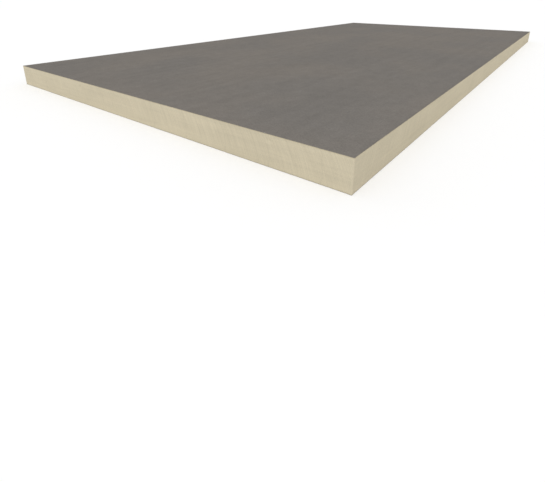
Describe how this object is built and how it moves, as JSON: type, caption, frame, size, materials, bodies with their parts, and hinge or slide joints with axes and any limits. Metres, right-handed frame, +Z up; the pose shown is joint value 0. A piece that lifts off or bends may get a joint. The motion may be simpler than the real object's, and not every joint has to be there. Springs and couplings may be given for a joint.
{
  "type": "polyiso roof insulation board",
  "caption": "Flat rectangular rigid foam board with dark grey felt facers on both faces and bare tan sawn edges, laid as insulation under a low-slope roof membrane.",
  "frame": {"origin": "centre of the underside, on the outer face of the bottom facer", "axes": "+X along the board's length, +Y across its width, +Z up through its thickness towards the top facer"},
  "size_m": [2.4384, 1.2192, 0.0635],
  "materials": {
    "foam": "matte",
    "facer_felt": "matte"
  },
  "bodies": {
    "root": {"bottom_facer": "facer_felt", "foam_core": "foam", "top_facer": "facer_felt"}
  },
  "joints": []
}
